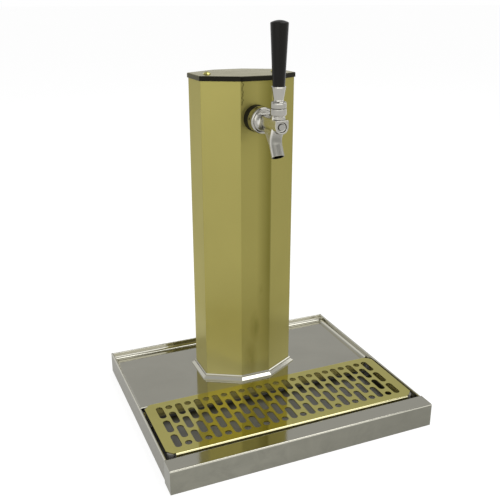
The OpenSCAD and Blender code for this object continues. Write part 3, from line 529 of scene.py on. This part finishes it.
FINISH = {
    "stainless_sheet": deck_steel(),
    "brass_sheet": grille_brass(),
    "brass_screw": metal("screw_brass", GRILLE_BRASS, 0.12),
    "pan_steel": pan_steel(),
    "rubber_black": plastic("rubber", RUBBER, 0.7, 0.3, 0.0001),
    "rubber_grey": plastic("post_rubber", POST, 0.5, 0.4, 0.0001),
    "plain_steel": metal("plain_steel", PLAIN_STEEL, 0.25),
    "trim_steel": trim_steel(),
    "cap_plastic": cap_plastic(),
    "foam": plastic("foam", FOAM, 0.9, 0.3, 0.0005, 400),
    "spacer_black": plastic("spacer_plastic", SPACER, 0.45, 0.08),
    "chrome_plate": metal("chrome", CHROME, 0.1, smudge=0.03, smudge_scale=60),
    "nylon_white": plastic("nylon", NYLON, 0.4),
    "handle_black": plastic("handle_plastic", HANDLE, 0.22, 0.15, 0.00002),
}

# Nodes whose finish differs from that of the other pieces of their material
NODE_FINISH = {
    "tower_column": column_brass(),
    "front_apron": apron_steel(),
    "faucet_body": cast_chrome(),
}


def node_row(name):
    return next(row for row in frame["record"]["subparts"] if row["node"] == name)


def body_of(name):
    groups = frame["record"]["behaviour"]["bodies"]
    return next(body for body, members in groups.items() if name in members)


def finish_of(name):
    return NODE_FINISH.get(name) or FINISH[node_row(name)["material_slot"]]


def dress_nodes():
    """Gives every CAD node the finish of its material slot."""
    for row in frame["record"]["subparts"]:
        node = frame["nodes"][row["node"]]
        node.data.materials.clear()
        node.data.materials.append(finish_of(row["node"]))


def stand_in(piece, name):
    """Makes a piece take the place of a CAD node, on its body and with its finish."""
    piece.data.materials.clear()
    piece.data.materials.append(finish_of(name))
    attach(piece, body_of(name))
    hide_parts(name)


def baked(piece):
    """The piece's mesh with its modifiers applied, which are then cleared."""
    graph = bpy.context.evaluated_depsgraph_get()
    mesh = bpy.data.meshes.new_from_object(piece.evaluated_get(graph))
    piece.modifiers.clear()
    return mesh


def softened(name, made_name):
    """A casting in place of a CAD node: the same form with edges rounded above its mouth."""
    crisp_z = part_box(name)[0][2] + CASTING_CRISP
    mesh = frame["nodes"][name].data.copy()
    piece = bpy.data.objects.new(made_name, mesh)
    bpy.context.scene.collection.objects.link(piece)
    weld = piece.modifiers.new("weld", "WELD")
    weld.merge_threshold = 0.002 * MM
    remesh = piece.modifiers.new("remesh", "REMESH")
    remesh.mode = "VOXEL"
    remesh.voxel_size = CASTING_VOXEL
    piece.data = baked(piece)
    group = piece.vertex_groups.new(name="round")
    for vertex in piece.data.vertices:
        if vertex.co.z > crisp_z:
            weight = min(1.0, (vertex.co.z - crisp_z) / CASTING_EASE)
            group.add([vertex.index], weight, "REPLACE")
    smooth = piece.modifiers.new("smooth", "SMOOTH")
    smooth.factor = 0.5
    smooth.iterations = CASTING_ROUNDS
    smooth.vertex_group = "round"
    piece.data = baked(piece)
    for face in piece.data.polygons:
        face.use_smooth = True
    stand_in(piece, name)


def make_camera():
    """Camera where the photograph was taken from."""
    data = bpy.data.cameras.new("camera")
    data.sensor_width = 36.0
    data.lens = 50.0
    data.clip_start = 0.01
    data.clip_end = 200
    camera = bpy.data.objects.new("camera", data)
    bpy.context.scene.collection.objects.link(camera)
    camera.location = CAMERA_PLACE
    look = Vector((
        -math.sin(CAMERA_AZIMUTH) * math.cos(CAMERA_ELEVATION),
        math.cos(CAMERA_AZIMUTH) * math.cos(CAMERA_ELEVATION),
        -math.sin(CAMERA_ELEVATION),
    ))
    camera.rotation_mode = "QUATERNION"
    camera.rotation_quaternion = look.to_track_quat("-Z", "Y")
    bpy.context.scene.camera = camera


def make_world():
    """White towards the horizon and plain grey overhead, for every kind of ray."""
    world = bpy.data.worlds.new("studio")
    bpy.context.scene.world = world
    world.use_nodes = True
    tree = world.node_tree
    background = tree.nodes["Background"]
    background.inputs["Color"].default_value = (1, 1, 1, 1)
    place = tree.nodes.new("ShaderNodeTexCoord")
    parts = tree.nodes.new("ShaderNodeSeparateXYZ")
    level = tree.nodes.new("ShaderNodeMapRange")
    level.interpolation_type = "SMOOTHSTEP"
    level.inputs["From Min"].default_value = WORLD_LOW
    level.inputs["From Max"].default_value = WORLD_HIGH
    level.inputs["To Min"].default_value = WORLD_HORIZON
    level.inputs["To Max"].default_value = WORLD_OVERHEAD
    tree.links.new(place.outputs["Generated"], parts.inputs[0])
    tree.links.new(parts.outputs["Z"], level.inputs["Value"])
    tree.links.new(level.outputs["Result"], background.inputs["Strength"])


def area_lamp(name, direction, distance, width, height, power):
    """A softbox at a distance from the lamps' target, which it faces."""
    place = LAMP_TARGET + Vector(direction).normalized() * distance
    data = bpy.data.lights.new(name, "AREA")
    data.shape = "RECTANGLE"
    data.size = width
    data.size_y = height
    data.energy = power
    lamp = bpy.data.objects.new(name, data)
    bpy.context.scene.collection.objects.link(lamp)
    lamp.location = place
    lamp.rotation_mode = "QUATERNION"
    lamp.rotation_quaternion = (LAMP_TARGET - place).to_track_quat("-Z", "Y")
    lamp.visible_camera = False


def make_lamps():
    """Softboxes overhead, in front, at both sides and behind."""
    for softbox in SOFTBOXES:
        area_lamp(*softbox)


def make_floor():
    """Plain white floor that runs out to the horizon and keeps the object's shadow."""
    mesh = bpy.data.meshes.new("floor")
    corners = [(x * FLOOR_HALF, y * FLOOR_HALF, 0) for x, y in ((-1, -1), (1, -1), (1, 1), (-1, 1))]
    mesh.from_pydata(corners, [], [(0, 1, 2, 3)])
    floor = bpy.data.objects.new("floor", mesh)
    bpy.context.scene.collection.objects.link(floor)
    s = Surface("floor_white")
    s.set(Base_Color=(0.3, 0.3, 0.3, 1), Roughness=1.0, Specular_IOR_Level=0.0)
    s.set(Emission_Color=(1, 1, 1, 1))
    path = s.node("ShaderNodeLightPath")
    seen = s.larger(s.larger(path.outputs["Is Camera Ray"], path.outputs["Is Glossy Ray"]),
                    path.outputs["Is Transmission Ray"])
    s.drive("Emission Strength", s.remap(seen, 0, 1, FLOOR_GLOW_LIGHTING, FLOOR_GLOW_SEEN))
    floor.data.materials.append(s.material)


def studio():
    view = bpy.context.scene.view_settings
    view.view_transform = "Standard"
    make_camera()
    make_world()
    make_lamps()
    make_floor()


studio()
dress_nodes()
softened("faucet_body", "tap_casting")
